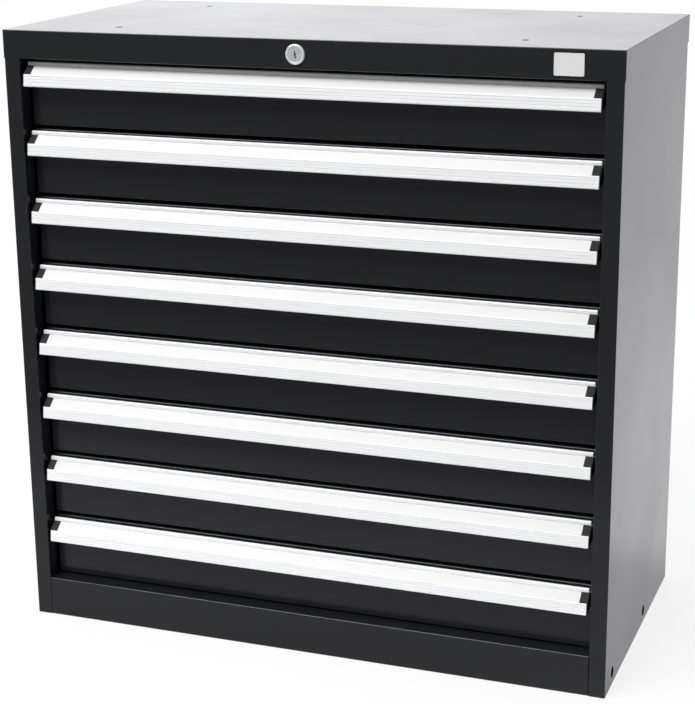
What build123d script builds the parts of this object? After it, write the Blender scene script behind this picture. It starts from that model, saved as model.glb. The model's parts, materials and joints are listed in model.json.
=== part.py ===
from build123d import *
import os
from math import cos, radians, sin

# Tool cabinet with a stack of full-width drawers, a locking bar and a folded steel carcass.
# Millimetres. X runs to the right, Y to the back and Z up. Every piece is drawn with the
# frame's front plane at y = 0 and is moved on export, so that the origin lies on the floor
# under the middle of the cabinet.

# Carcass
cabinet_width = 720.0
cabinet_depth = 364.0
cap_height = 32.5
cap_sheet = 0.8
cap_bend = 1.0
side_sheet = 0.8
side_bend = 0.9
stile_width = 19.0
stile_return = 20.0
rear_flange = 15.0
foot_flange = 15.0
back_sheet = 0.8
header_return = 15.0
header_bend = 1.6
plinth_height = 48.5
plinth_sheet = 0.8
plinth_bend = 1.4
plinth_shelf = 25.0
plinth_foot = 15.0
plinth_seam = 0.6
base_sheet = 0.8
base_skirt = 20.0

# Holes in the carcass
top_hole_radius = 3.25
top_hole_spacing_x = 480.0
top_hole_inset_y = 57.0
side_hole_radius = 6.75
side_hole_height = 15.0
side_hole_first = 38.0
side_hole_spacing = 177.0

# Drawer fronts
drawer_count = 8
panel_height = 76.0
panel_gap = 4.0
panel_recess = 20.0
panel_sheet = 1.0
panel_bend = 1.4
panel_thickness = 20.0
panel_side_gap = 3.8
bottom_gap = 2.0
top_gap = 3.0

# Drawer trays
tray_sheet = 0.8
tray_crease = 0.6
tray_height = 58.0
tray_rise = 4.0
tray_back_space = 22.0
tray_lip = 6.0
catch_flange = 12.0

# Telescopic runners, three channels in each
runner_height = 35.0
runner_sheet = 1.2
runner_crease = 0.7
runner_rise = 32.0
runner_start_gap = 1.0
runner_web_gap = 0.4
runner_race_gap = 0.35
runner_wall_gap = 0.7
runner_space = 12.7
runner_overlap = 20.0

# Posts that carry the runners
post_sheet = 1.2
post_bend = 1.8
post_width = 30.0
post_front_inset = 46.0
post_rear_inset = 58.0
post_top_space = 7.0

# Handle extrusion
handle_proud = 1.7
handle_top_gap = 1.3
grip_height = 13.4
grip_lean = 1.5
grip_wall = 2.0
grip_round = 1.5
slope_depth = 11.5
slope_height = 9.6
bead_depth = 3.9
bead_height = 4.3
bead_round = 1.5
web_height = 18.6
web_wall = 1.6
flange_drop = 15.5
groove_count = 3
groove_pitch = 3.4
groove_first = 5.0
groove_width = 0.9
groove_depth = 0.6
label_depth = 1.0
label_thickness = 0.8
label_ledge = 0.9
label_gap = 0.35
plug_length = 8.3
plug_cheek = 0.9
plug_inset = 0.5
plug_round = 0.5

# Lock
lock_hole_radius = 9.6
lock_body_radius = 9.4
lock_collar_radius = 11.0
lock_collar_depth = 2.5
lock_body_depth = 22.0
lock_collar_chamfer = 0.9
lock_bore_chamfer = 0.5
lock_nut_size = 25.0
lock_nut_depth = 5.0
lock_plug_radius = 8.3
lock_plug_gap = 0.05
lock_plug_recess = 0.5
key_slot_depth = 9.0
key_slot_corners = [
    (-1.1, 4.2), (0.1, 4.2), (0.3, 1.6), (1.5, 1.2), (1.5, 0.5), (0.9, 0.2), (1.2, -2.2),
    (0.9, -4.2), (-0.6, -4.2), (-0.2, -2.4), (-0.4, -0.4), (-1.5, -0.1), (-1.5, 0.7), (-0.7, 0.9),
]
rod_radius = 4.0
crank_radius = 9.0
crank_wall = 3.0
crank_pin_radius = 2.5
crank_pin_gap = 0.5
crank_air = 1.5
crank_angle = 225.0
hanger_width = 22.0
hanger_wall = 2.0
hanger_inset = 40.0
hanger_drop = 11.0
hanger_gap = 0.08

# Locking bar and its guides
bar_width = 25.0
bar_thickness = 2.0
bar_gap = 0.3
bar_top_margin = 4.0
bar_start = 20.0
finger_width = 14.0
tooth_length = 12.0
tooth_gap = 3.0
tooth_point = 2.5
slot_clearance = 2.0
guide_wall = 1.2
guide_height = 12.0
guide_foot = 9.0
guide_rise = 30.0
guide_levels = (0, 3, 6)

# Sizes that follow from those above
drawer_pitch = panel_height + panel_gap
cap_bottom = plinth_height + bottom_gap + drawer_count * drawer_pitch - panel_gap + top_gap
cabinet_height = cap_bottom + cap_height
wall_top = cabinet_height - cap_sheet - cap_bend
side_x = cabinet_width / 2 - cap_sheet
inner_x = side_x - side_sheet
opening_x = side_x - stile_width
back_y = cabinet_depth - cap_sheet
flange_y = back_y - back_sheet
panel_x = opening_x - panel_side_gap
post_x = opening_x - side_sheet
tray_x = post_x - runner_space
liner_y = panel_recess + panel_thickness
tray_back_y = cabinet_depth - tray_back_space
runner_y = liner_y + tray_sheet + runner_start_gap
runner_length = tray_back_y - runner_y
runner_travel = runner_length - runner_overlap
base_top = plinth_height - plinth_sheet
lock_z = cap_bottom + cap_height / 2
crank_pin_x = crank_radius * cos(radians(crank_angle))
crank_pin_z = lock_z + crank_radius * sin(radians(crank_angle))
bar_travel = 2 * (lock_z - crank_pin_z)
bar_x = (crank_pin_x - crank_radius) / 2
bar_back_y = flange_y - bar_gap
bar_front_y = bar_back_y - bar_thickness
crank_y = bar_front_y - crank_air - crank_wall
tooth_y = tray_back_y + catch_flange / 2
handle_length = 2 * (panel_x - plug_cheek)
label_x = handle_length / 2 - plug_length
center_shift = -(cabinet_depth - max(handle_proud, lock_collar_depth)) / 2


def panel_z(level):
    return plinth_height + bottom_gap + level * drawer_pitch


def tray_top(level):
    return panel_z(level) + tray_rise + tray_height


def runner_z(level):
    return panel_z(level) + runner_rise


def save(name, *solids):
    shape = Compound(children=list(solids)) if len(solids) > 1 else solids[0]
    export_step(Pos(0, center_shift, 0) * shape, f"parts/{name}.step")


def block(low, high):
    size = [b - a for a, b in zip(low, high)]
    return Pos(*low) * Box(*size, align=(Align.MIN, Align.MIN, Align.MIN))


def round_bar(x, z, start_y, end_y, radius):
    return Pos(x, (start_y + end_y) / 2, z) * Rot(90, 0, 0) * Cylinder(radius, end_y - start_y)


def folded(points, sheet, bend, side):
    # Cross-section of a bent sheet: the points are the outer corners of its folds
    line = FilletPolyline(*points, radius=bend)
    return make_face(offset(line, amount=sheet, side=side))


def creased(points, sheet, crease, side):
    # The same for a small thin section: flats take the place of the round outer corners
    line = Polyline(*points)
    face = make_face(offset(line, amount=sheet, side=side, kind=Kind.INTERSECTION))
    folds = [Vector(*point) for point in points[1:-1]]
    corners = face.vertices().filter_by(lambda v: min((v.center() - fold).length for fold in folds) < sheet / 2)
    return chamfer(corners, crease)


def polygon(points):
    return make_face(Polyline(*points, close=True))


def along_x(face, start, end):
    # The face is drawn in Y and Z
    return extrude(Pos(start, 0, 0) * (Plane.YZ * face), end - start, dir=(1, 0, 0))


def along_y(face, start, end):
    # The face is drawn in X and Z
    return extrude(Pos(0, start, 0) * (Plane.XZ * face), end - start, dir=(0, 1, 0))


def both_sides(solid):
    return [solid, mirror(solid, Plane.YZ)]


# Carcass


def top_cap():
    cap = block((-cabinet_width / 2, 0, cap_bottom), (cabinet_width / 2, cabinet_depth, cabinet_height))
    folds = cap.edges().group_by(Axis.Z)[-1] + cap.edges().filter_by(Axis.Z)
    cap = fillet(folds, cap_bend)
    hollow_x = cabinet_width / 2 - cap_sheet
    cap -= block((-hollow_x, cap_sheet, cap_bottom), (hollow_x, back_y, cabinet_height - cap_sheet))
    fold_top = cap_bottom + 2 * header_bend
    cap -= block((-opening_x, 0, cap_bottom), (opening_x, cap_sheet, fold_top))
    fold = [(header_return, cap_bottom), (0, cap_bottom), (0, fold_top)]
    cap += along_x(folded(fold, cap_sheet, header_bend, Side.RIGHT), -opening_x, opening_x)
    cap += rod_hanger()
    cap -= round_bar(0, lock_z, -cap_sheet, 2 * cap_sheet, lock_hole_radius)
    for x in (-top_hole_spacing_x / 2, top_hole_spacing_x / 2):
        for y in (top_hole_inset_y, cabinet_depth - top_hole_inset_y):
            cap -= Pos(x, y, cabinet_height) * Cylinder(top_hole_radius, 4 * cap_sheet)
    return cap


def rod_hanger():
    # Tab under the cap with a round lower end, which carries the rear of the lock rod
    half = hanger_width / 2
    tab_y = back_y - hanger_inset
    tab_top = cabinet_height - cap_sheet
    tab = along_y(Pos(0, lock_z) * Circle(hanger_drop), tab_y, tab_y + hanger_wall)
    tab += block((-half, tab_y, lock_z), (half, tab_y + hanger_wall, tab_top))
    return tab - round_bar(0, lock_z, tab_y - 1, tab_y + hanger_wall + 1, rod_radius + hanger_gap)


def side_panel():
    # Right-hand side: a narrow stile folded round the front and a flange at the rear
    outline = [
        (opening_x, stile_return),
        (opening_x, 0),
        (side_x, 0),
        (side_x, flange_y),
        (side_x - rear_flange, flange_y),
    ]
    panel = extrude(folded(outline, side_sheet, side_bend, Side.LEFT), wall_top)
    skirt_y = cap_sheet + cap_bend
    panel -= block((0, 0, cap_bottom), (inner_x, stile_return, wall_top))
    panel -= block((0, 0, cap_bottom), (side_x, skirt_y, wall_top))
    foot_start = stile_return + side_bend
    panel += block((side_x - foot_flange, foot_start, 0), (inner_x, flange_y - side_sheet, side_sheet))
    for y in (side_hole_first, side_hole_first + side_hole_spacing):
        panel -= Pos(side_x, y, side_hole_height) * Rot(0, 90, 0) * Cylinder(side_hole_radius, 4 * side_sheet)
    return panel


def back_panel():
    half_width = side_x - side_bend
    panel = block((-half_width, flange_y, 0), (half_width, back_y, wall_top))
    for level in guide_levels:
        panel += bar_guide(tray_top(level) + guide_rise)
    return panel


def bar_guide(z):
    # Bridge over the locking bar, welded to the back panel by its two feet
    half_inside = bar_width / 2 + bar_gap
    half_outside = half_inside + guide_wall
    half_foot = half_outside + guide_foot
    inside_y = bar_front_y - bar_gap
    top = z + guide_height
    bridge = block((bar_x - half_outside, inside_y - guide_wall, z), (bar_x + half_outside, flange_y, top))
    bridge += block((bar_x - half_foot, flange_y - guide_wall, z), (bar_x + half_foot, flange_y, top))
    return bridge - block((bar_x - half_inside, inside_y, z), (bar_x + half_inside, flange_y, top))


def plinth_rail():
    outline = [(plinth_shelf, plinth_height), (0, plinth_height), (0, 0), (plinth_foot, 0)]
    face = folded(outline, plinth_sheet, plinth_bend, Side.LEFT)
    return along_x(face, plinth_seam - opening_x, opening_x - plinth_seam)


def base_pan():
    # Floor of the cabinet, with a skirt all round and a tongue between the stiles
    tongue_x = post_x - plinth_seam
    tongue_y = plinth_sheet + plinth_bend
    front_y = stile_return + plinth_seam
    rear_y = flange_y - side_sheet
    outline = polygon([
        (-tongue_x, tongue_y),
        (tongue_x, tongue_y),
        (tongue_x, front_y),
        (inner_x, front_y),
        (inner_x, rear_y),
        (-inner_x, rear_y),
        (-inner_x, front_y),
        (-tongue_x, front_y),
    ])
    outline = fillet(outline.vertices().group_by(Axis.Y)[-1], side_bend)
    pan = extrude(Pos(0, 0, base_top - base_skirt) * outline, base_skirt)
    hollow = offset(outline, amount=-base_sheet)
    return pan - extrude(Pos(0, 0, base_top - base_skirt) * hollow, base_skirt - base_sheet)


def slide_post(start_y):
    outline = [
        (inner_x, start_y),
        (post_x, start_y),
        (post_x, start_y + post_width),
        (inner_x, start_y + post_width),
    ]
    face = folded(outline, post_sheet, post_bend, Side.RIGHT)
    height = cabinet_height - post_top_space - base_top
    return extrude(Pos(0, 0, base_top) * face, height)


# Runners: an outer channel on the posts, a middle one that floats, an inner one on the tray


def channel(web_x, tip_x, half_height, z):
    outline = [
        (tip_x, z - half_height),
        (web_x, z - half_height),
        (web_x, z + half_height),
        (tip_x, z + half_height),
    ]
    side = Side.LEFT if web_x > tip_x else Side.RIGHT
    face = creased(outline, runner_sheet, runner_crease, side)
    return along_y(face, runner_y, runner_y + runner_length)


outer_half = runner_height / 2
middle_half = outer_half - runner_sheet - runner_race_gap
inner_half = middle_half - runner_sheet - runner_race_gap
middle_x = post_x - runner_sheet - runner_web_gap
inner_tip_x = middle_x - runner_sheet - runner_web_gap


def outer_runner(level):
    return channel(post_x, tray_x + runner_wall_gap, outer_half, runner_z(level))


def middle_runner(level):
    tip_x = tray_x + runner_sheet + runner_web_gap
    return channel(middle_x, tip_x, middle_half, runner_z(level))


def inner_runner(level):
    return channel(tray_x, inner_tip_x, inner_half, runner_z(level))


# Drawers


def drawer_box(level):
    # Front pan, the liner behind it and the tray, welded into one piece
    low = panel_z(level)
    high = low + panel_height
    floor = low + tray_rise
    rim = tray_top(level)
    seam_y = liner_y + tray_sheet
    front = [(seam_y, high), (panel_recess, high), (panel_recess, low), (seam_y, low)]
    box = along_x(folded(front, panel_sheet, panel_bend, Side.LEFT), -panel_x, panel_x)
    box += block((-tray_x, liner_y, low), (tray_x, seam_y, high))
    trough = [
        (tray_lip - tray_x, rim),
        (-tray_x, rim),
        (-tray_x, floor),
        (tray_x, floor),
        (tray_x, rim),
        (tray_x - tray_lip, rim),
    ]
    box += along_y(creased(trough, tray_sheet, tray_crease, Side.LEFT), liner_y, tray_back_y)
    rear = Pos(0, (floor + rim) / 2) * Rectangle(2 * tray_x, tray_height)
    rear = chamfer(rear.vertices(), tray_crease)
    box += along_y(rear, tray_back_y - tray_sheet, tray_back_y)
    return box + catch(rim)


def catch(rim):
    # Flange behind the tray with a slot for the tooth of the locking bar
    half_width = tray_x - tray_crease
    half_slot_x = finger_width / 2 + slot_clearance
    half_slot_y = bar_thickness / 2 + slot_clearance
    under = rim - tray_sheet
    flange = block((-half_width, tray_back_y - tray_sheet, under), (half_width, tray_back_y + catch_flange, rim))
    slot_low = (bar_x - half_slot_x, tooth_y - half_slot_y, under)
    slot_high = (bar_x + half_slot_x, tooth_y + half_slot_y, rim)
    return flange - block(slot_low, slot_high)


def handle_points():
    # Corners of the handle's section, as depth behind the grip's foot and height above it
    run = (slope_depth ** 2 + slope_height ** 2) ** 0.5
    along = Vector(slope_depth / run, slope_height / run)
    out = Vector(-along.Y, along.X)
    corner = Vector(grip_lean, grip_height)
    ledge = corner + along * label_ledge
    bed_start = ledge - out * label_depth
    bed_end = corner + along * run - out * label_depth
    return along, out, ledge, bed_start, bed_end


def place(depth, height, level):
    # From the handle's own depth and height to the cabinet
    return (depth - handle_proud, handle_z(level) + height)


handle_height = grip_height + slope_height + bead_height
handle_depth = panel_recess + handle_proud
slope_back = grip_lean + slope_depth


def handle_z(level):
    return panel_z(level) + panel_height - handle_top_gap - handle_height


def handle(level):
    along, out, ledge, bed_start, bed_end = handle_points()
    bead_back = slope_back + bead_depth
    web_top = web_height + web_wall
    under_start = bed_start - out * grip_wall
    rise = along.Y / along.X
    under_y = under_start.X + (web_height - under_start.Y) / rise
    lean = grip_lean / grip_height
    inner_z = (under_start.Y + (grip_wall - under_start.X) * rise) / (1 - lean * rise)
    corners = [
        (0, 0),
        (grip_lean, grip_height),
        (ledge.X, ledge.Y),
        (bed_start.X, bed_start.Y),
        (bed_end.X, bed_end.Y),
        (slope_back, grip_height + slope_height),
        (slope_back, handle_height),
        (bead_back, handle_height),
        (bead_back, web_top),
        (handle_depth, web_top),
        (handle_depth, web_top - flange_drop),
        (handle_depth - web_wall, web_top - flange_drop),
        (handle_depth - web_wall, web_height),
        (under_y, web_height),
        (grip_wall + lean * inner_z, inner_z),
        (grip_wall, 0),
    ]
    section = polygon([place(y, z, level) for y, z in corners])
    section = fillet(section.vertices().sort_by(Axis.Y)[-2:], bead_round)
    section = fillet(section.vertices().sort_by(Axis.X)[0], grip_round)
    for index in range(groove_count):
        groove_height = groove_first + index * groove_pitch
        groove_y, groove_z = place(lean * groove_height, groove_height, level)
        section -= Pos(groove_y, groove_z) * Rectangle(2 * groove_depth, groove_width)
    return along_x(section, -handle_length / 2, handle_length / 2)


def label(level):
    # Strip that slides into the channel between the grip and the bead
    along, out, ledge, bed_start, bed_end = handle_points()
    low = bed_start + along * label_gap
    high = bed_end - along * label_gap
    corners = [low, high, high + out * label_thickness, low + out * label_thickness]
    section = polygon([place(point.X, point.Y, level) for point in corners])
    return along_x(section, -label_x, label_x)


def end_plug(level):
    # Right-hand plug: a cheek over the end of the handle and a tongue that stops the label
    along, out, ledge, bed_start, bed_end = handle_points()
    low = bed_start + along * label_gap
    high = bed_end - along * label_gap
    tongue = [low, high, high + out * label_depth, low + out * label_depth]
    tongue_face = polygon([place(point.X, point.Y, level) for point in tongue])
    plug = along_x(tongue_face, label_x, panel_x - plug_cheek)
    web_top = web_height + web_wall
    cheek = [
        (plug_inset, plug_inset),
        (grip_lean + plug_inset, grip_height - plug_inset),
        (slope_back + plug_inset, grip_height + slope_height),
        (slope_back + bead_depth, web_top),
        (handle_depth, web_top),
        (handle_depth, web_top - flange_drop),
    ]
    cheek_face = polygon([place(y, z, level) for y, z in cheek])
    cheek_face = fillet(cheek_face.vertices().sort_by(Axis.X)[:2], plug_round)
    return plug + along_x(cheek_face, panel_x - plug_cheek, panel_x)


# Lock


def lock_barrel():
    barrel = round_bar(0, lock_z, -lock_collar_depth, 0, lock_collar_radius)
    barrel = chamfer(barrel.edges().group_by(Axis.Y)[0], lock_collar_chamfer)
    barrel += round_bar(0, lock_z, 0, lock_body_depth, lock_body_radius)
    nut = Pos(0, lock_z) * RegularPolygon(lock_nut_size / 2, 6, major_radius=False)
    barrel += along_y(nut, cap_sheet, cap_sheet + lock_nut_depth)
    bore_radius = lock_plug_radius + lock_plug_gap
    barrel -= round_bar(0, lock_z, -lock_collar_depth, lock_body_depth, bore_radius)
    mouth = barrel.edges().group_by(Axis.Y)[0].sort_by(SortBy.LENGTH)[0]
    return chamfer(mouth, lock_bore_chamfer)


def lock_plug():
    front = lock_plug_recess - lock_collar_depth
    plug = round_bar(0, lock_z, front, lock_body_depth, lock_plug_radius)
    slot = polygon([(x, lock_z + z) for x, z in key_slot_corners])
    return plug - along_y(slot, front, front + key_slot_depth)


def lock_rod():
    # Shaft to the rear with a crank, whose pin lifts the locking bar
    rod = round_bar(0, lock_z, lock_body_depth, crank_y + crank_wall, rod_radius)
    web_radius = crank_pin_radius + crank_wall
    arm = Pos(0, lock_z) * Circle(rod_radius + crank_wall) + Pos(crank_pin_x, crank_pin_z) * Circle(web_radius)
    rod += along_y(make_hull(arm.edges()), crank_y, crank_y + crank_wall)
    return rod + round_bar(crank_pin_x, crank_pin_z, crank_y, bar_back_y - bar_gap, crank_pin_radius)


def lock_bar():
    half = bar_width / 2
    hole = crank_pin_radius + crank_pin_gap
    foot = base_top + bar_start
    head = crank_pin_z + hole + bar_top_margin
    bar = block((bar_x - half, bar_front_y, foot), (bar_x + half, bar_back_y, head))
    slot = Pos(bar_x, crank_pin_z) * SlotCenterToCenter(crank_radius + crank_pin_x, 2 * hole)
    bar -= along_y(slot, bar_front_y, bar_back_y)
    return bar


def finger(level):
    # Bracket on the bar that reaches under a drawer's catch, with a pointed tooth turned up at its end
    half = finger_width / 2
    tip_z = tray_top(level) - tray_sheet - tooth_gap
    leg_z = tip_z - tooth_length
    leg = block((bar_x - half, tooth_y, leg_z - bar_thickness), (bar_x + half, bar_front_y, leg_z))
    face = polygon([
        (bar_x - half, leg_z - bar_thickness),
        (bar_x + half, leg_z - bar_thickness),
        (bar_x + half, tip_z - tooth_point),
        (bar_x + half - tooth_point, tip_z),
        (bar_x + tooth_point - half, tip_z),
        (bar_x - half, tip_z - tooth_point),
    ])
    return leg + along_y(face, tooth_y - bar_thickness / 2, tooth_y + bar_thickness / 2)


os.makedirs("parts", exist_ok=True)

save("top_cap", top_cap())
save("side_panel_right", side_panel())
save("side_panel_left", mirror(side_panel(), Plane.YZ))
save("back_panel", back_panel())
save("base_pan", base_pan())
save("plinth_rail", plinth_rail())
front_posts = both_sides(slide_post(post_front_inset))
rear_posts = both_sides(slide_post(cabinet_depth - post_rear_inset - post_width))
save("slide_posts", *front_posts, *rear_posts)
outer_runners = [both_sides(outer_runner(level)) for level in range(drawer_count)]
save("outer_runners", *sum(outer_runners, []))
save("lock_barrel", lock_barrel())
save("lock_plug", lock_plug())
save("lock_rod", lock_rod())
save("lock_bar", lock_bar(), *[finger(level) for level in range(drawer_count)])

for level in range(drawer_count):
    # Drawers are numbered from the top
    drawer = f"drawer_{drawer_count - level}"
    save(f"{drawer}_box", drawer_box(level))
    save(f"{drawer}_handle", handle(level))
    save(f"{drawer}_label", label(level))
    save(f"{drawer}_end_plugs", *both_sides(end_plug(level)))
    save(f"{drawer}_inner_runners", *both_sides(inner_runner(level)))
    save(f"{drawer}_middle_runners", *both_sides(middle_runner(level)))

print("drawer travel", round(runner_travel, 3), "bar travel", round(bar_travel, 4))
print("frame front plane at y", center_shift, "cabinet height", cabinet_height)
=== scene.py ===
import json
from math import pi, radians

import bmesh
import bpy
from mathutils import Matrix, Vector


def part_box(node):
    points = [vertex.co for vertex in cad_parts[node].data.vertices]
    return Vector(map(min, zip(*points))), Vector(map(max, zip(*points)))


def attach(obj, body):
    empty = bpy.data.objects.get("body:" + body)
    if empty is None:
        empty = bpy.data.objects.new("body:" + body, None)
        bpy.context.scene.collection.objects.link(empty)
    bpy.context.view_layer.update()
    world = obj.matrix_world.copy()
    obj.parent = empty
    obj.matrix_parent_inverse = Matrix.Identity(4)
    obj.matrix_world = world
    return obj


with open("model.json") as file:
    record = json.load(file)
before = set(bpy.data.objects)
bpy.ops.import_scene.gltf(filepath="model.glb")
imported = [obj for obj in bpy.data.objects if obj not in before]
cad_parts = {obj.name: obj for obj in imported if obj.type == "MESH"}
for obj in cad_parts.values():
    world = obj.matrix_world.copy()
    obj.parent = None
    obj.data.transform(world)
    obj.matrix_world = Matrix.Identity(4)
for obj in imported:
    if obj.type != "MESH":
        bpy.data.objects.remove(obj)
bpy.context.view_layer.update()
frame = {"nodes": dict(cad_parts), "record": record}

mm = 0.001
nodes = frame["nodes"]
print("frame loaded:", len(nodes), "nodes")


# Camera

cameraSet = {
    "place": (0.73056, -1.99604, 0.94622),
    "turn": 20.375,  # degrees to the left of straight ahead
    "tilt": 16.382,  # degrees down
    "roll": -0.585,
    "lens": 92.37,
    "sensor": 36,
}


def makeCamera(values):
    data = bpy.data.cameras.new("camera")
    data.lens = values["lens"]
    data.sensor_width = values["sensor"]
    camera = bpy.data.objects.new("camera", data)
    turn = Matrix.Rotation(radians(values["turn"]), 4, "Z")
    tilt = Matrix.Rotation(radians(90 - values["tilt"]), 4, "X")
    roll = Matrix.Rotation(radians(values["roll"]), 4, "Z")
    camera.matrix_world = Matrix.Translation(values["place"]) @ turn @ tilt @ roll
    bpy.context.collection.objects.link(camera)
    bpy.context.scene.camera = camera


makeCamera(cameraSet)
bpy.context.scene.view_settings.view_transform = "Standard"
print("camera set")


# Node helpers

def addNode(tree, kind, **inputs):
    # A new node with some of its sockets set by name
    node = tree.nodes.new(kind)
    for name, value in inputs.items():
        node.inputs[name].default_value = value
    return node


def feed(tree, item, socket):
    # Gives a socket a colour or a number, or links it to another socket
    if isinstance(item, tuple):
        socket.default_value = (*item, 1)
    elif isinstance(item, float):
        socket.default_value = item
    else:
        tree.links.new(item, socket)


def newMaterial(name):
    material = bpy.data.materials.new(name)
    material.use_nodes = True
    material.node_tree.nodes.clear()
    return material, material.node_tree


def principled(tree, colour, roughness, metallic=0.0, ior=1.5):
    output = tree.nodes.new("ShaderNodeOutputMaterial")
    shader = addNode(tree, "ShaderNodeBsdfPrincipled", Roughness=roughness, Metallic=metallic, IOR=ior)
    feed(tree, colour, shader.inputs["Base Color"])
    tree.links.new(shader.outputs["BSDF"], output.inputs["Surface"])
    return shader


def coordinates(tree, output="Object"):
    return tree.nodes.new("ShaderNodeTexCoord").outputs[output]


def axesOf(tree, place):
    # The sockets "X", "Y" and "Z" of a place
    node = tree.nodes.new("ShaderNodeSeparateXYZ")
    tree.links.new(place, node.inputs["Vector"])
    return node.outputs


def vectorMath(tree, operation, place, vector=(0, 0, 0)):
    node = tree.nodes.new("ShaderNodeVectorMath")
    node.operation = operation
    tree.links.new(place, node.inputs[0])
    node.inputs[1].default_value = vector
    return node.outputs["Value" if operation == "LENGTH" else "Vector"]


def noise(tree, repeats, detail):
    # Noise on the piece's own coordinates, repeated so many times a metre along X, Y and Z
    mapping = addNode(tree, "ShaderNodeMapping", Scale=repeats)
    texture = addNode(tree, "ShaderNodeTexNoise", Scale=1.0, Detail=detail)
    tree.links.new(coordinates(tree), mapping.inputs["Vector"])
    tree.links.new(mapping.outputs["Vector"], texture.inputs["Vector"])
    return texture.outputs[0]


def spread(tree, value, low, high, fromLow=0.3, fromHigh=0.7):
    # Goes evenly from low to high as the value goes from fromLow to fromHigh, where most of a noise lies
    node = tree.nodes.new("ShaderNodeMapRange")
    node.inputs["From Min"].default_value = fromLow
    node.inputs["From Max"].default_value = fromHigh
    node.inputs["To Min"].default_value = low
    node.inputs["To Max"].default_value = high
    tree.links.new(value, node.inputs["Value"])
    return node.outputs["Result"]


def blendColours(tree, share, first, second):
    # Sockets 6, 7 and 2 are the Mix node's own for colours
    node = tree.nodes.new("ShaderNodeMix")
    node.data_type = "RGBA"
    for index, item in ((0, share), (6, first), (7, second)):
        feed(tree, item, node.inputs[index])
    return node.outputs[2]


def blendNumbers(tree, share, first, second):
    # Sockets 2, 3 and 0 are the Mix node's own for numbers
    node = tree.nodes.new("ShaderNodeMix")
    for index, item in ((0, share), (2, first), (3, second)):
        feed(tree, item, node.inputs[index])
    return node.outputs[0]


def bump(tree, shader, height, distance):
    node = addNode(tree, "ShaderNodeBump", Strength=1.0, Distance=distance)
    tree.links.new(height, node.inputs["Height"])
    tree.links.new(node.outputs["Normal"], shader.inputs["Normal"])


# Materials: colours from dark to light, roughness from low to high, reliefs in metres

coatSet = {
    "dark": (0.0095, 0.0100, 0.0125),
    "light": (0.0125, 0.0130, 0.0160),
    "roughness": (0.20, 0.25),
    "peel": 700,  # the skin of the powder coat, lumps a metre
    "relief": 0.000012,
    "drift": 5,  # broad changes in gloss, a metre
    "rim": 0.0009,  # width of the dull rim round the holes in the top, painted near black as painted shade of the holes
    # near-black colour of the painted shade round the holes
    "rimShadeColour": (0.002, 0.002, 0.002),
}


def holeShadeRims(tree, mount, rim):
    # 1 on a dull rim of painted shade round each hole of a rectangle in a level face, 0 elsewhere
    dims = mount["dims"]
    halfSpacing = (dims["spacing_x_mm"] / 2 * mm, dims["spacing_y_mm"] / 2 * mm, 0)
    radius = dims["hole_r_mm"] * mm
    place = vectorMath(tree, "SUBTRACT", coordinates(tree), mount["pos_m"])
    place = vectorMath(tree, "ABSOLUTE", place)
    place = vectorMath(tree, "SUBTRACT", place, halfSpacing)
    place = vectorMath(tree, "MULTIPLY", place, (1, 1, 0))
    return spread(tree, vectorMath(tree, "LENGTH", place), 1, 0, radius + rim / 2, radius + rim)


def powderCoat(name, values, holes=None):
    material, tree = newMaterial(name)
    shader = principled(tree, values["dark"], values["roughness"][0])
    lumps = noise(tree, (values["peel"],) * 3, detail=3.0)
    clouds = noise(tree, (values["drift"],) * 3, detail=4.0)
    colour = blendColours(tree, spread(tree, lumps, 0, 1), values["dark"], values["light"])
    roughness = spread(tree, clouds, *values["roughness"])
    # Painted shade: a near-black, fully rough rim round each hole in the top
    if holes:
        shadeRims = holeShadeRims(tree, holes, values["rim"])
        colour = blendColours(tree, shadeRims, colour, values["rimShadeColour"])
        roughness = blendNumbers(tree, shadeRims, roughness, 1.0)
    tree.links.new(colour, shader.inputs["Base Color"])
    tree.links.new(roughness, shader.inputs["Roughness"])
    bump(tree, shader, lumps, values["relief"])
    return material


def patterned(tree, shader, pattern, values):
    # One pattern drives the colour, the roughness and a slight relief
    colour = blendColours(tree, spread(tree, pattern, 0, 1), values["dark"], values["light"])
    tree.links.new(colour, shader.inputs["Base Color"])
    tree.links.new(spread(tree, pattern, *values["roughness"]), shader.inputs["Roughness"])
    bump(tree, shader, pattern, values["relief"])


aluminiumSet = {
    "dark": (0.90, 0.905, 0.91),
    "light": (0.95, 0.955, 0.96),
    "metallic": 0.12,
    "roughness": (0.36, 0.46),
    "along": 9,  # drawing lines run along the extrusion
    "across": 2600,
    "relief": 0.000006,
}


def drawnAluminium(name, values):
    material, tree = newMaterial(name)
    shader = principled(tree, values["light"], values["roughness"][0], values["metallic"])
    lines = noise(tree, (values["along"], values["across"], values["across"]), detail=2.0)
    patterned(tree, shader, lines, values)
    return material


labelSet = {
    "dark": (0.74, 0.74, 0.735),
    "light": (0.77, 0.77, 0.765),
    "metallic": 0.0,
    "ior": 1.5,
    "roughness": (0.3, 0.4),
    "grain": 1800,  # grains a metre, here and below
    "relief": 0.000008,
}
plasticSet = {
    "dark": (0.017, 0.017, 0.018),
    "light": (0.025, 0.025, 0.026),
    "metallic": 0.0,
    "ior": 1.25,
    "roughness": (0.42, 0.55),
    "grain": 1500,
    "relief": 0.000008,
}
zincSet = {
    "dark": (0.52, 0.53, 0.55),
    "light": (0.66, 0.67, 0.69),
    "metallic": 1.0,
    "ior": 1.5,
    "roughness": (0.28, 0.42),
    "grain": 60,
    "relief": 0.000002,
}
collarSet = {
    "dark": (0.86, 0.86, 0.86),
    "light": (0.94, 0.94, 0.94),
    "metallic": 0.4,
    "ior": 1.5,
    "roughness": (0.14, 0.24),
    "grain": 900,
    "relief": 0.000001,
}


def grained(name, values):
    material, tree = newMaterial(name)
    shader = principled(tree, values["light"], values["roughness"][0], values["metallic"], values["ior"])
    patterned(tree, shader, noise(tree, (values["grain"],) * 3, detail=3.0), values)
    return material


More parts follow.
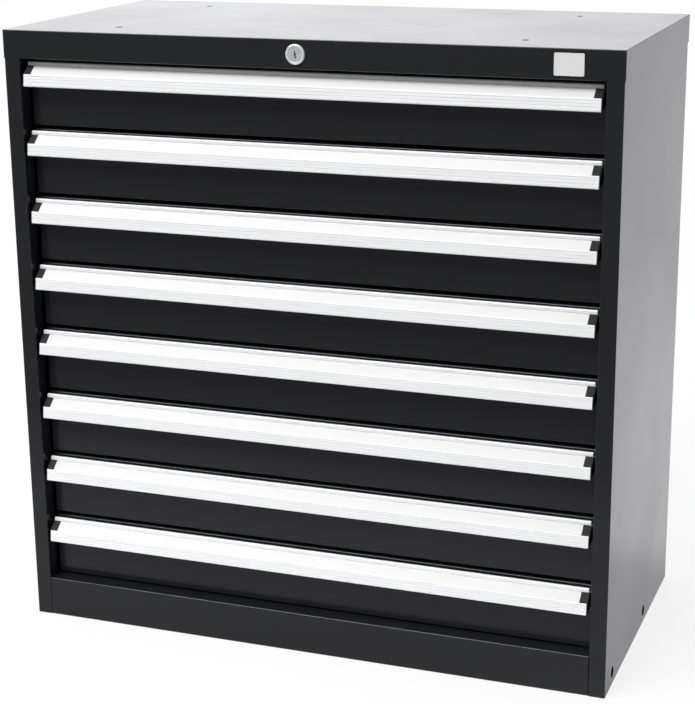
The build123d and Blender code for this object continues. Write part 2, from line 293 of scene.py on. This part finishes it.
keyFaceSet = {
    "dark": (0.60, 0.60, 0.61),
    "light": (0.82, 0.82, 0.83),
    "metallic": 0.5,
    "ior": 1.5,
    "roughness": (0.18, 0.30),
    "grain": 700,
    "relief": 0.000003,
    "slot": (0.006, 0.006, 0.007),  # painted shade inside the keyway
    "slotDepth": 0.0004,
}


def keyFace(name, values, front):
    # Worn metal, painted near black behind its front face as painted shade inside the keyway
    material = grained(name, values)
    tree = material.node_tree
    paint = tree.nodes["Principled BSDF"].inputs["Base Color"]
    # Painted shade: deeper than slotDepth behind the front face, the colour goes over into the slot
    # colour
    depth = spread(tree, axesOf(tree, coordinates(tree))["Y"], 0, 1, front, front + values["slotDepth"])
    tree.links.new(blendColours(tree, depth, paint.links[0].from_socket, values["slot"]), paint)
    return material


materials = {
    "black_coat": powderCoat("blackCoat", coatSet),
    "drawer_coat": powderCoat("drawerCoat", coatSet),
    "handle_aluminium": drawnAluminium("handleAluminium", aluminiumSet),
    "label_white": grained("labelWhite", labelSet),
    "plug_plastic": grained("plugPlastic", plasticSet),
    "zinc_steel": grained("zincSteel", zincSet),
    "lock_chrome": grained("lockCollar", collarSet),
}
topHoles = next(mount for mount in frame["record"]["mounts"] if mount["name"] == "top_holes")
ownFinishes = {
    "lock_plug": keyFace("keyFace", keyFaceSet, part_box("lock_plug")[0].y),
    "top_cap": powderCoat("coverCoat", coatSet, topHoles),
}
for part in frame["record"]["subparts"]:
    name = part["node"]
    mesh = nodes[name].data
    mesh.materials.clear()
    mesh.materials.append(ownFinishes.get(name) or materials[part["material_slot"]])
print("materials made:", len(materials) + len(ownFinishes))


# The badge, a bare plate at the right of the cover's front

badgeSet = {
    "x": 0.301,
    "z": 0.7055,
    "width": 0.032,
    "height": 0.0235,
    "thickness": 0.0008,
    "corner": 0.0016,
    "cornerSegments": 8,
    "edge": 0.0002,  # the front edge is softened by this
    "edgeSegments": 3,
    "rim": 0.0008,
    "sunk": 0.00016,  # the field inside the rim lies deeper by this
}
weldDistance = 0.000001


def soften(shape, edges, size, segments):
    bmesh.ops.bevel(
        shape, geom=edges, offset=size, segments=segments, profile=0.5, affect="EDGES", material=-1
    )


def finishPiece(name, shape, body, slotName):
    bmesh.ops.remove_doubles(shape, verts=shape.verts, dist=weldDistance)
    bmesh.ops.recalc_face_normals(shape, faces=shape.faces)
    mesh = bpy.data.meshes.new(name)
    shape.to_mesh(mesh)
    shape.free()
    mesh.materials.append(materials[slotName])
    piece = bpy.data.objects.new(name, mesh)
    bpy.context.collection.objects.link(piece)
    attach(piece, body)


def makeBadge(values, front):
    shape = bmesh.new()
    bmesh.ops.create_cube(shape, size=1)
    thickness = values["thickness"]
    bmesh.ops.scale(shape, vec=(values["width"], thickness, values["height"]), verts=shape.verts)
    corners = [e for e in shape.edges if abs(e.verts[0].co.y - e.verts[1].co.y) > thickness / 2]
    soften(shape, corners, values["corner"], values["cornerSegments"])
    face = min(shape.faces, key=lambda f: f.calc_center_median().y)
    soften(shape, face.edges[:], values["edge"], values["edgeSegments"])
    face = min(shape.faces, key=lambda f: (f.calc_center_median().y, -f.calc_area()))
    bmesh.ops.inset_region(shape, faces=[face], thickness=values["rim"], depth=0)
    bmesh.ops.translate(shape, vec=(0, values["sunk"], 0), verts=face.verts)
    place = (values["x"], front - thickness / 2, values["z"])
    bmesh.ops.translate(shape, vec=place, verts=shape.verts)
    finishPiece("badge_plate", shape, "carcass", "label_white")


makeBadge(badgeSet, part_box("top_cap")[0].y)
print("badge made")


# Studio

mirrorTint = (0.955, 0.955, 1.0)  # colour of the room and the floor in reflections


def times(tree, first, second):
    node = tree.nodes.new("ShaderNodeMath")
    node.operation = "MULTIPLY"
    feed(tree, first, node.inputs[0])
    feed(tree, second, node.inputs[1])
    return node.outputs["Value"]


def within(tree, value, low, high, border):
    # 1 between two places and 0 outside them
    rise = spread(tree, value, 0, 1, low, low + border)
    return times(tree, rise, spread(tree, value, 1, 0, high - border, high))


def glowing(tree, kind, strength, tint=(1, 1, 1)):
    node = tree.nodes.new(kind)
    feed(tree, tint, node.inputs["Color"])
    feed(tree, strength, node.inputs["Strength"])
    return node.outputs[0]


def mixShaders(tree, share, first, second):
    node = tree.nodes.new("ShaderNodeMixShader")
    for index, item in enumerate((share, first, second)):
        tree.links.new(item, node.inputs[index])
    return node.outputs["Shader"]


worldSet = {
    "light": {"front": 0.22, "back": 0.50},  # what falls on the object
    "lightTurn": (-0.2, 0.4),  # it goes from front to back between these, on the direction's Y
    "room": {"front": 0.25, "right": 0.95, "left": 1.83},  # brightness in reflections
    "roomTurn": (-0.35, 0.25),  # from front to back, on Y
    "roomCross": (-0.36, 0.15),  # from left to right, on X
}


def makeWorld(values):
    world = bpy.data.worlds.new("studio")
    world.use_nodes = True
    tree = world.node_tree
    tree.nodes.clear()
    output = tree.nodes.new("ShaderNodeOutputWorld")
    paths = tree.nodes.new("ShaderNodeLightPath").outputs
    axes = axesOf(tree, coordinates(tree, "Generated"))
    room = values["room"]
    across = spread(tree, axes["X"], 0, 1, *values["roomCross"])
    back = blendNumbers(tree, across, room["left"], room["right"])
    mirrored = blendNumbers(tree, spread(tree, axes["Y"], 0, 1, *values["roomTurn"]), room["front"], back)
    turn = spread(tree, axes["Y"], 0, 1, *values["lightTurn"])
    falling = blendNumbers(tree, turn, values["light"]["front"], values["light"]["back"])

    kind = "ShaderNodeBackground"
    white = glowing(tree, kind, 1.0)
    light = glowing(tree, kind, falling)
    light = mixShaders(tree, paths["Is Glossy Ray"], light, glowing(tree, kind, mirrored, mirrorTint))
    light = mixShaders(tree, paths["Is Transmission Ray"], light, white)
    light = mixShaders(tree, paths["Is Camera Ray"], light, white)
    tree.links.new(light, output.inputs["Surface"])
    bpy.context.scene.world = world


floorSet = {
    "nearLeft": (-9.0, -0.75),  # corners of the paper
    "farRight": (9.0, 9.0),
    "colour": (0.90, 0.90, 0.90),
    # Painted light and shade of the floor, seen only in reflections, and where one goes over into the
    # next, in metres from the middle
    "front": 0.43,
    "left": 0.36,
    "shadowBeside": 0.99,  # on the right, a painted shadow of the cabinet on the floor
    "behind": 1.38,
    "far": 1.16,
    "frontEnds": (-0.25, -0.10),
    "leftEnds": (-0.45, -0.30),
    "rightStarts": (0.20, 0.40),
    "behindStarts": (0.19, 0.30),
    "farStarts": (0.6, 2.0),
    # Share of the floor that glows
    "cameraGlow": 0.82,  # plain white to the camera
    "farCameraGlow": 1.0,  # the same far off, as white as the room
    "away": (1.0, 2.5),  # near goes over into far off between these
    "glossyGlow": 0.85,  # with its own brightness in reflections
    "border": 0.004,  # soft edge of the dark floor underneath the cabinet
}


def floorBrightness(tree, axes, values):
    # Painted light and shade that the floor shows in reflections, which differs from side to side of the
    # cabinet: a painted shadow of the cabinet on its right, brighter behind it
    masks = {
        "far": spread(tree, axes["Y"], 0, 1, *values["farStarts"]),
        "behind": spread(tree, axes["Y"], 0, 1, *values["behindStarts"]),
        "right": spread(tree, axes["X"], 0, 1, *values["rightStarts"]),
        "left": spread(tree, axes["X"], 1, 0, *values["leftEnds"]),
        "beyondFront": spread(tree, axes["Y"], 0, 1, *values["frontEnds"]),
    }
    brightness = blendNumbers(tree, masks["far"], values["behind"], values["far"])
    # Painted shadow of the cabinet on the floor to its right, until behind its back
    brightness = blendNumbers(tree, masks["behind"], values["shadowBeside"], brightness)
    brightness = blendNumbers(tree, masks["right"], values["front"], brightness)
    brightness = blendNumbers(tree, masks["left"], brightness, values["left"])
    return blendNumbers(tree, masks["beyondFront"], values["front"], brightness)


def makeFloor(values):
    shape = bmesh.new()
    bmesh.ops.create_grid(shape, x_segments=1, y_segments=1, size=0.5)
    low, high = Vector((*values["nearLeft"], 0)), Vector((*values["farRight"], 0))
    bmesh.ops.scale(shape, vec=(high - low) + Vector((0, 0, 1)), verts=shape.verts)
    bmesh.ops.translate(shape, vec=(low + high) / 2, verts=shape.verts)
    mesh = bpy.data.meshes.new("floor")
    shape.to_mesh(mesh)
    shape.free()

    material, tree = newMaterial("floorPaper")
    output = tree.nodes.new("ShaderNodeOutputMaterial")
    paths = tree.nodes.new("ShaderNodeLightPath").outputs
    place = coordinates(tree)
    axes = axesOf(tree, place)
    paper = tree.nodes.new("ShaderNodeBsdfDiffuse")
    feed(tree, values["colour"], paper.inputs["Color"])
    kind = "ShaderNodeEmission"
    white = glowing(tree, kind, 1.0)
    mirrored = glowing(tree, kind, floorBrightness(tree, axes, values), mirrorTint)

    left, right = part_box("side_panel_left")[0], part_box("side_panel_right")[1]
    covered = times(
        tree,
        within(tree, axes["X"], left.x, right.x, values["border"]),
        within(tree, axes["Y"], left.y, right.y, values["border"]),
    )
    bare = blendNumbers(tree, covered, 1.0, 0.0)  # no glow on the floor underneath the cabinet
    away = spread(tree, vectorMath(tree, "LENGTH", place), 0, 1, *values["away"])
    toCamera = blendNumbers(tree, away, values["cameraGlow"], values["farCameraGlow"])
    surface = paper.outputs["BSDF"]
    for path, share, glow in (
        ("Is Camera Ray", toCamera, white),
        ("Is Glossy Ray", values["glossyGlow"], mirrored),
        ("Is Transmission Ray", toCamera, white),
    ):
        amount = times(tree, times(tree, paths[path], share), bare)
        surface = mixShaders(tree, amount, surface, glow)
    tree.links.new(surface, output.inputs["Surface"])
    mesh.materials.append(material)
    floor = bpy.data.objects.new("floor", mesh)
    bpy.context.collection.objects.link(floor)


lampSet = {  # face is the brightness of a lamp's own face
    "overheadBox": {"place": (-0.4, 0.3, 2.6), "aim": (-0.1, 0.0, 0.4), "size": (3.4, 2.8), "face": 1.8},
    "keyBox": {"place": (-1.2, -2.7, 3.7), "aim": (0, -0.18, 0.4), "size": (3.2, 1.4), "face": 12.9},
}


def makeLamp(name, values):
    width, height = values["size"]
    data = bpy.data.lights.new(name, "AREA")
    data.shape = "RECTANGLE"
    data.size = width
    data.size_y = height
    data.energy = values["face"] * pi * width * height  # watts
    lamp = bpy.data.objects.new(name, data)
    lamp.location = values["place"]
    lamp.rotation_mode = "QUATERNION"
    aim = Vector(values["aim"]) - Vector(values["place"])
    lamp.rotation_quaternion = aim.to_track_quat("-Z", "Y")
    bpy.context.collection.objects.link(lamp)
    lamp.visible_camera = False


makeWorld(worldSet)
makeFloor(floorSet)
for name, values in lampSet.items():
    makeLamp(name, values)
print("studio made")
